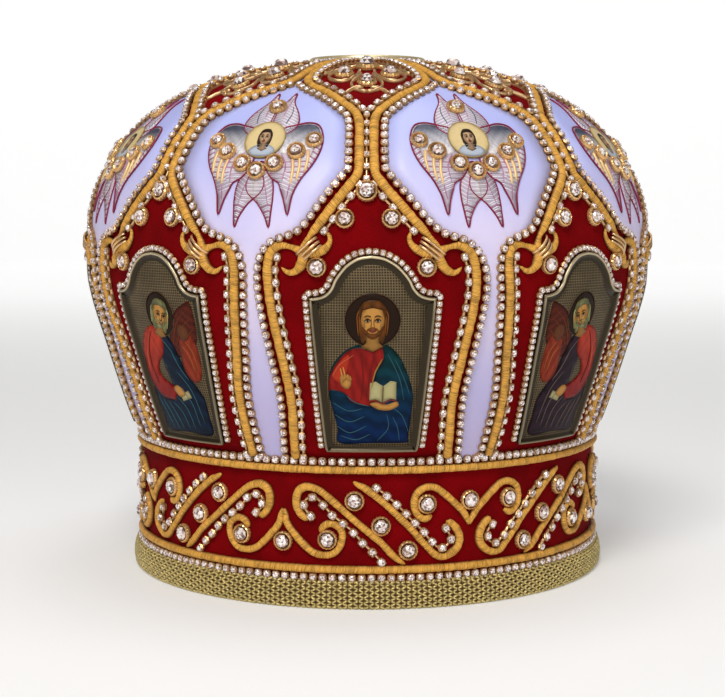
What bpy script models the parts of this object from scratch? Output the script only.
"""Orthodox mitre: a domed crown on a velvet head band, with icons, seraphs and corded borders."""
import math

import bmesh
import bpy
from mathutils import Vector

# Driving sizes, in metres
PANELS = 8
SEGMENTS = 40
GAP = 0.0003
SEAT = 0.0005

BAND_RADIUS = 0.0970
BAND_HEIGHT = 0.0570
WALL = 0.0030
CROWN_RADIUS = 0.1178
WIDEST_RISE = 0.0750
CROWN_RISE = 0.1545
DOME_POWER = 2.45

BRAID_HEIGHT = 0.0100
BRAID_DEPTH = 0.0040
BAND_CORD = 0.0030
BAND_STONE = 0.0028
UPPER_CORD_DROP = 0.0036

BORDER_CORD_WIDTH = 0.0039
BORDER_CORD_RISE = 0.0034
STRING_RISE = 0.0023
BORDER_REACH = 0.0049

ICON_MOULDING = 0.0034
ICON_MOULDING_RISE = 0.0030
ICON_PLATE = 0.0013
SERAPH_THICKNESS = 0.0016

SETTING_RADIUS = 0.0031
STONE_RADIUS = 0.0022
STONE_RISE = 0.0026

MEDALLION_RADIUS = 0.0250
MEDALLION_RIM = 0.0030
MEDALLION_RISE = 0.0026
MEDALLION_PLATE = 0.0010

# Crown below its widest part: share of the rise to the widest part, share of the bulge past the band
FLARE = ((0.0, 0.0), (0.13, 0.19), (0.34, 0.44), (0.54, 0.66), (0.72, 0.86), (0.86, 0.97), (1.0, 1.0))

# Half of a border's centre line, from the foot of the leg up to the red field at the top:
# share of the half pitch between panels, share of the crown's arc, share of the inward reach
BORDER = (
    (0.765, 0.022, 1.0), (0.742, 0.105, 1.0), (0.790, 0.185, 1.0), (0.830, 0.250, 1.0),
    (0.852, 0.302, 1.0), (0.832, 0.331, 1.0), (0.765, 0.347, 1.0), (0.660, 0.354, 1.0),
    (0.560, 0.361, 1.0), (0.480, 0.374, 1.0), (0.395, 0.396, 1.0), (0.270, 0.419, 0.8),
    (0.160, 0.440, 0.5), (0.092, 0.462, 0.5), (0.080, 0.493, 1.0), (0.080, 0.527, 1.0),
    (0.105, 0.561, 1.0), (0.160, 0.590, 1.0), (0.300, 0.618, 1.0),
    (0.480, 0.641, 1.0), (0.690, 0.668, 1.0), (0.845, 0.697, 1.0), (0.960, 0.735, 1.0),
    (1.000, 0.770, 1.0),
)

# Outer edge of an icon's moulding, from the foot's middle to the top of the arch:
# share of the half pitch between panels, share of the crown's arc
ICON = (
    (0.000, 0.020), (0.228, 0.020), (0.455, 0.020), (0.477, 0.100), (0.497, 0.190), (0.512, 0.278),
    (0.375, 0.286), (0.318, 0.299), (0.270, 0.318), (0.165, 0.334), (0.000, 0.342),
)

# Seraph, from the tips of the lower wings to those of the upper ones:
# share of the crown's arc, share of the half pitch between panels
SERAPH = (
    (0.387, 0.17), (0.407, 0.31), (0.440, 0.40), (0.480, 0.48), (0.532, 0.57), (0.556, 0.55),
    (0.600, 0.24), (0.639, 0.12),
)

APEX_STONE_ARC = 0.434
FLARE_STEPS = 8
DOME_STEPS = 72


def curve_through(points, steps):
    """Points on a Catmull-Rom curve through the given ones."""
    ends = [points[0], *points, points[-1]]
    smooth = []
    for a, b, c, d in zip(ends, ends[1:], ends[2:], ends[3:]):
        for step in range(steps):
            t = step / steps
            smooth.append(tuple(
                0.5 * (2 * q + (r - p) * t + (2 * p - 5 * q + 4 * r - s) * t ** 2
                       + (3 * q - p - 3 * r + s) * t ** 3)
                for p, q, r, s in zip(a, b, c, d)))
    return smooth + [tuple(points[-1])]


def dome_point(turn):
    """Radius and height of the dome above its widest part, from turn 0 there to 1 at the top."""
    angle = turn * math.pi / 2
    power = 2 / DOME_POWER
    rise = (CROWN_RISE - WIDEST_RISE) * math.sin(angle) ** power
    radius = CROWN_RADIUS * max(math.cos(angle), 0.0) ** power if turn < 1 else 0.0
    return radius, BAND_HEIGHT + WIDEST_RISE + rise


def flare_points():
    """Radius and height of the crown's outer face below its widest part."""
    bulge = CROWN_RADIUS - BAND_RADIUS
    return [(BAND_RADIUS + bulge * out, BAND_HEIGHT + GAP + (WIDEST_RISE - GAP) * up) for up, out in FLARE]


def crown_profile():
    """Crown's outer face as close points with their distance along the arc from the waist."""
    points = curve_through(flare_points(), FLARE_STEPS)
    points += [dome_point(step / DOME_STEPS) for step in range(1, DOME_STEPS + 1)]
    arcs = [0.0]
    for (r0, z0), (r1, z1) in zip(points, points[1:]):
        arcs.append(arcs[-1] + math.hypot(r1 - r0, z1 - z0))
    return points, arcs


PROFILE, ARCS = crown_profile()
ARC = ARCS[-1]
HALF_PITCH = math.pi / PANELS


def on_profile(arc):
    """Radius, height and outward normal of the crown at a distance along its arc."""
    arc = min(max(arc, 0.0), ARC)
    index = next(i for i in range(1, len(ARCS)) if ARCS[i] >= arc)
    (r0, z0), (r1, z1) = PROFILE[index - 1], PROFILE[index]
    length = ARCS[index] - ARCS[index - 1]
    t = (arc - ARCS[index - 1]) / length
    return r0 + (r1 - r0) * t, z0 + (z1 - z0) * t, (z1 - z0) / length, (r0 - r1) / length


def arc_at_radius(radius):
    """Distance along the crown's arc where the dome has come in to a radius."""
    index = next(i for i in range(len(ARCS)) if ARCS[i] > ARC / 2 and PROFILE[i][0] <= radius)
    outside, inside = PROFILE[index - 1][0], PROFILE[index][0]
    share = (outside - radius) / (outside - inside)
    return ARCS[index - 1] + share * (ARCS[index] - ARCS[index - 1])


def place(azimuth, radius, height):
    """Point at an azimuth round the axis; azimuth 0 is the front, at -Y."""
    return Vector((radius * math.sin(azimuth), -radius * math.cos(azimuth), height))


def on_crown(azimuth, arc, lift):
    """Point above the crown's outer face."""
    radius, height, out, up = on_profile(arc)
    return place(azimuth, radius + lift * out, height + lift * up)


def finish(colour, roughness, metallic):
    """Material of one finish."""
    material = bpy.data.materials.new("finish")
    material.use_nodes = True
    shader = material.node_tree.nodes["Principled BSDF"]
    shader.inputs["Base Color"].default_value = (*colour, 1.0)
    shader.inputs["Roughness"].default_value = roughness
    shader.inputs["Metallic"].default_value = metallic
    return material


def add_object(name, points, faces, material):
    """Closed object from points and faces, with its faces turned outwards."""
    mesh = bpy.data.meshes.new(name)
    mesh.from_pydata(points, [], faces)
    shape = bmesh.new()
    shape.from_mesh(mesh)
    bmesh.ops.recalc_face_normals(shape, faces=shape.faces)
    shape.to_mesh(mesh)
    shape.free()
    mesh.materials.append(material)
    piece = bpy.data.objects.new(name, mesh)
    bpy.context.scene.collection.objects.link(piece)
    return piece


def strip_faces(rows, columns, closed_rows, closed_columns):
    """Quads over a grid of points that may close on itself either way."""
    faces = []
    for i in range(rows if closed_rows else rows - 1):
        for j in range(columns if closed_columns else columns - 1):
            a, b = i * columns, (i + 1) % rows * columns
            k = (j + 1) % columns
            faces.append((a + j, a + k, b + k, b + j))
    return faces


def add_ring(name, section, material):
    """Ring turned from a closed section of radius and height."""
    turns = [2 * math.pi * step / SEGMENTS for step in range(SEGMENTS)]
    points = [place(turn, radius, height) for turn in turns for radius, height in section]
    return add_object(name, points, strip_faces(SEGMENTS, len(section), True, True), material)


def round_section(radius, height, width, sides):
    """Polygon round a ring's middle line, of the given width."""
    turns = [2 * math.pi * (step + 0.5) / sides for step in range(sides)]
    return [(radius + width / 2 * math.cos(turn), height + width / 2 * math.sin(turn)) for turn in turns]


def add_head_band(velvet):
    """Hollow velvet band, with its flat foot on the table."""
    inner = BAND_RADIUS - WALL
    add_ring("head_band", [(inner, 0.0), (BAND_RADIUS, 0.0), (BAND_RADIUS, BAND_HEIGHT),
                           (inner, BAND_HEIGHT)], velvet)


def add_braid_rim(braid):
    """Woven braid round the foot of the band, fullest at its middle."""
    inner = BAND_RADIUS + GAP
    full = inner + BRAID_DEPTH
    section = [(inner, 0.0), (inner + 0.55 * BRAID_DEPTH, 0.0), (full, 0.25 * BRAID_HEIGHT),
               (full, 0.65 * BRAID_HEIGHT), (inner + 0.6 * BRAID_DEPTH, BRAID_HEIGHT),
               (inner, BRAID_HEIGHT)]
    add_ring("braid_rim", section, braid)


def add_band_trim(gold, crystal):
    """Two cords that bound the band, and the row of set stones beside each."""
    stone_low = BRAID_HEIGHT + GAP + BAND_STONE / 2
    cord_low = stone_low + (BAND_STONE + BAND_CORD) / 2 + GAP
    cord_high = BAND_HEIGHT - UPPER_CORD_DROP
    stone_high = cord_high + (BAND_STONE + BAND_CORD) / 2 + GAP
    cord_radius = BAND_RADIUS + GAP + BAND_CORD / 2
    stone_radius = BAND_RADIUS + GAP + BAND_STONE / 2
    crown_flare = 0.5 * GAP + (CROWN_RADIUS - BAND_RADIUS) / WIDEST_RISE * BAND_STONE / 2
    add_ring("band_cord_lower", round_section(cord_radius, cord_low, BAND_CORD, 5), gold)
    add_ring("band_cord_upper", round_section(cord_radius, cord_high, BAND_CORD, 5), gold)
    add_ring("stone_ring_lower", round_section(stone_radius, stone_low, BAND_STONE, 5), crystal)
    add_ring("stone_ring_upper", round_section(stone_radius + crown_flare, stone_high, BAND_STONE, 5),
             crystal)


def inset_profile(points, depth):
    """Profile moved in by a depth, square to itself."""
    inset = []
    for index, (radius, height) in enumerate(points):
        before = points[max(index - 1, 0)]
        after = points[min(index + 1, len(points) - 1)]
        run, rise = after[0] - before[0], after[1] - before[1]
        length = math.hypot(run, rise)
        inset.append((radius - depth * rise / length, height + depth * run / length))
    return inset


def add_crown_shell(cloth):
    """Stiffened cloth crown: outer face, inner face and the open foot between them."""
    turns = [2 * math.pi * step / SEGMENTS for step in range(SEGMENTS)]
    outer = flare_points() + [dome_point(turn) for turn in (0.16, 0.33, 0.49, 0.64, 0.79)]
    lining = [flare_points()[0], *flare_points()[3::3], *(dome_point(turn) for turn in (0.3, 0.55, 0.8))]
    inner = inset_profile(lining, WALL)
    inner[0] = (BAND_RADIUS - WALL, outer[0][1])
    rings = outer[::-1] + inner
    points = [place(turn, radius, height) for radius, height in rings for turn in turns]
    faces = strip_faces(len(rings), SEGMENTS, False, True)
    top = BAND_HEIGHT + CROWN_RISE
    last = (len(rings) - 1) * SEGMENTS
    points += [Vector((0.0, 0.0, top)), Vector((0.0, 0.0, top - WALL))]
    for step in range(SEGMENTS):
        after = (step + 1) % SEGMENTS
        faces.append((step, after, len(points) - 2))
        faces.append((last + step, last + after, len(points) - 1))
    add_object("crown_shell", points, faces, cloth)


def border_route():
    """Stations of half a border: azimuth, arc and inward reach, up to the medallion's rim."""
    stop = arc_at_radius(MEDALLION_RADIUS) - 2 * GAP
    rows = [(HALF_PITCH * side, ARC * along, BORDER_REACH * reach) for side, along, reach in BORDER]
    arcs = [rows[-1][1] + (stop - rows[-1][1]) * share for share in (0.33, 0.66, 1.0)]
    return rows + [(HALF_PITCH, arc, BORDER_REACH) for arc in arcs]


def border_section(route, index):
    """Five points across half a border: both feet, both shoulders and the crest of the cord."""
    azimuth, arc, reach = route[index]
    before, after = route[max(index - 1, 0)], route[min(index + 1, len(route) - 1)]
    radius = on_profile(arc)[0]
    side, along = radius * (after[0] - before[0]), after[1] - before[1]
    length = math.hypot(side, along)
    limit = HALF_PITCH - GAP / 2 / radius
    crest_room = BORDER_CORD_WIDTH / 4 / radius
    shoulder = 0.8

    def across(offset, lift, low, high):
        turned = azimuth + offset * along / length / radius
        return min(max(turned, low), high), arc - offset * side / length, lift

    return (
        across(BORDER_REACH, SEAT, 0.0, limit),
        across(BORDER_REACH * shoulder, SEAT + STRING_RISE, 0.0, limit),
        across(0.0, SEAT + BORDER_CORD_RISE, crest_room, limit - crest_room),
        across(-reach * shoulder, SEAT + STRING_RISE, 0.0, limit),
        across(-reach, SEAT, 0.0, limit),
    )


def add_border(number, gold):
    """Border of one icon field: two legs, the neck where they meet and two arms round the top field."""
    middle = 2 * HALF_PITCH * (number - 1)
    route = border_route()
    sections = [border_section(route, index) for index in range(len(route))]
    points, faces, places = [], [], {}

    def point(index, corner, mirror):
        azimuth, arc, lift = sections[index][corner]
        key = (index, corner, mirror if azimuth > 0 else 1)
        if key not in places:
            places[key] = len(points)
            points.append(on_crown(middle + mirror * azimuth, arc, lift))
        return places[key]

    for mirror in (1, -1):
        for index in range(len(sections) - 1):
            for corner in range(5):
                after = (corner + 1) % 5
                quad = [point(index, corner, mirror), point(index, after, mirror),
                        point(index + 1, after, mirror), point(index + 1, corner, mirror)]
                inner_wall = {corner, after} == {3, 4}
                in_neck = all(sections[at][side][0] == 0 for at in (index, index + 1) for side in (3, 4))
                if not (inner_wall and in_neck):
                    faces.append(quad)
        faces.append([point(0, corner, mirror) for corner in range(5)])
        faces.append([point(len(sections) - 1, corner, mirror) for corner in range(5)])
    add_object(f"border_{number}", points, faces, gold)


def icon_outline():
    """Outer edge of an icon's moulding, all the way round: azimuth and arc."""
    half = [(HALF_PITCH * side, ARC * along) for side, along in ICON]
    return half + [(-side, along) for side, along in half[-2:0:-1]]


def inset_outline(outline, depth):
    """Outline moved in along the crown's face by a depth."""
    moved = []
    count = len(outline)
    for index, (azimuth, arc) in enumerate(outline):
        radius = on_profile(arc)[0]
        normals = []
        for first, second in ((index - 1, index), (index, index + 1)):
            (a0, s0), (a1, s1) = outline[first % count], outline[second % count]
            side, along = radius * (a1 - a0), s1 - s0
            length = math.hypot(side, along)
            normals.append((-along / length, side / length))
        across, up = (sum(axis) for axis in zip(*normals))
        scale = 2 * depth / (across ** 2 + up ** 2)
        moved.append((azimuth + scale * across / radius, arc + scale * up))
    return moved


def add_icon_frame(number, bronze):
    """Arched moulding, highest near its outer edge and open in the middle."""
    middle = 2 * HALF_PITCH * (number - 1)
    outline = icon_outline()
    rings = ((0.0, GAP), (0.2 * ICON_MOULDING, ICON_MOULDING_RISE),
             (ICON_MOULDING, 0.6 * ICON_MOULDING_RISE), (ICON_MOULDING, GAP))
    points = []
    for depth, lift in rings:
        points += [on_crown(middle + azimuth, arc, lift) for azimuth, arc in inset_outline(outline, depth)]
    add_object(f"icon_frame_{number}", points, strip_faces(len(rings), len(outline), True, True), bronze)


def add_patch(name, rows, columns, base, thickness, material):
    """Thin plate that follows the crown; each row has an arc and the azimuths of its two ends."""
    points = []
    for lift in (base, base + thickness):
        for arc, left, right in rows:
            points += [on_crown(left + (right - left) * step / columns, arc, lift)
                       for step in range(columns + 1)]
    width = columns + 1
    layer = len(rows) * width
    bottom = strip_faces(len(rows), width, False, False)
    faces = bottom + [tuple(layer + corner for corner in face) for face in bottom]
    edge = list(range(width)) + [row * width + columns for row in range(1, len(rows))]
    edge += [layer - 1 - step for step in range(1, width)]
    edge += [row * width for row in range(len(rows) - 2, 0, -1)]
    for first, second in zip(edge, edge[1:] + edge[:1]):
        faces.append((first, second, layer + second, layer + first))
    add_object(name, points, faces, material)


def add_icon_plate(number, enamel):
    """Icon plate inside its moulding."""
    middle = 2 * HALF_PITCH * (number - 1)
    edge = inset_outline(icon_outline(), ICON_MOULDING + GAP)
    right_side = [edge[index] for index in (2, 4, 5, 6, 7, 8, 9)]
    rows = [(arc, middle - azimuth, middle + azimuth) for azimuth, arc in right_side]
    add_patch(f"icon_plate_{number}", rows, 3, 2 * GAP, ICON_PLATE, enamel)


def add_seraph(number, thread):
    """Embroidered figure with six wings, in the middle of a white field."""
    middle = HALF_PITCH * (2 * number - 1)
    chord_sag = CROWN_RADIUS * (1 - math.cos(0.3 * HALF_PITCH))
    rows = [(ARC * along, middle - HALF_PITCH * side, middle + HALF_PITCH * side) for along, side in SERAPH]
    add_patch(f"seraph_{number}", rows, 2, GAP + chord_sag, SERAPH_THICKNESS, thread)


def add_apex_stone(number, crystal):
    """Cut crystal with a table and eight facets, fused to its gold setting."""
    middle = 2 * HALF_PITCH * (number - 1)
    arc = ARC * APEX_STONE_ARC
    centre = on_crown(middle, arc, 0.0)
    normal = (on_crown(middle, arc, 1.0) - centre).normalized()
    across = Vector((0.0, 0.0, 1.0)).cross(normal).normalized()
    along = normal.cross(across)
    rings = ((SETTING_RADIUS, GAP), (SETTING_RADIUS, 0.45 * STONE_RISE),
             (STONE_RADIUS, 0.5 * STONE_RISE), (0.55 * STONE_RADIUS, STONE_RISE))
    points = []
    for radius, lift in rings:
        for step in range(8):
            turn = math.pi / 4 * step
            side = across * math.cos(turn) + along * math.sin(turn)
            points.append(centre + side * radius + normal * lift)
    faces = strip_faces(len(rings), 8, False, True)
    faces += [tuple(range(8)), tuple(range(len(points) - 8, len(points)))]
    add_object(f"apex_stone_{number}", points, faces, crystal)


def add_medallion(bronze, enamel):
    """Round plate on the top, in a raised metal rim."""
    inner = MEDALLION_RADIUS - MEDALLION_RIM
    seat = on_profile(arc_at_radius(inner))[1] + GAP
    section = [(inner, seat), (MEDALLION_RADIUS, seat),
               (MEDALLION_RADIUS - 0.2 * MEDALLION_RIM, seat + MEDALLION_RISE),
               (inner, seat + 0.7 * MEDALLION_RISE)]
    add_ring("medallion_rim", section, bronze)
    base = BAND_HEIGHT + CROWN_RISE + GAP
    edge = inner - GAP
    turns = [2 * math.pi * step / SEGMENTS for step in range(SEGMENTS)]
    points = [place(turn, edge, base + rise) for rise in (0.0, MEDALLION_PLATE) for turn in turns]
    faces = strip_faces(2, SEGMENTS, False, True)
    faces += [tuple(range(SEGMENTS)), tuple(range(SEGMENTS, 2 * SEGMENTS))]
    add_object("medallion_plate", points, faces, enamel)


def main():
    """Build the whole mitre."""
    for old in list(bpy.data.objects):
        bpy.data.objects.remove(old, do_unlink=True)
    velvet = finish((0.27, 0.003, 0.008), 0.9, 0.0)
    satin = finish((0.68, 0.67, 0.86), 0.5, 0.0)
    gold = finish((0.72, 0.40, 0.08), 0.5, 0.3)
    braid = finish((0.42, 0.32, 0.10), 0.45, 0.7)
    crystal = finish((0.85, 0.83, 0.80), 0.1, 0.2)
    bronze = finish((0.24, 0.18, 0.08), 0.35, 0.9)
    enamel = finish((0.16, 0.12, 0.09), 0.4, 0.1)
    thread = finish((0.55, 0.50, 0.60), 0.4, 0.4)
    add_head_band(velvet)
    add_braid_rim(braid)
    add_band_trim(gold, crystal)
    add_crown_shell(satin)
    add_medallion(bronze, enamel)
    for number in range(1, PANELS + 1):
        add_border(number, gold)
        add_icon_frame(number, bronze)
        add_icon_plate(number, enamel)
        add_seraph(number, thread)
        add_apex_stone(number, crystal)


main()
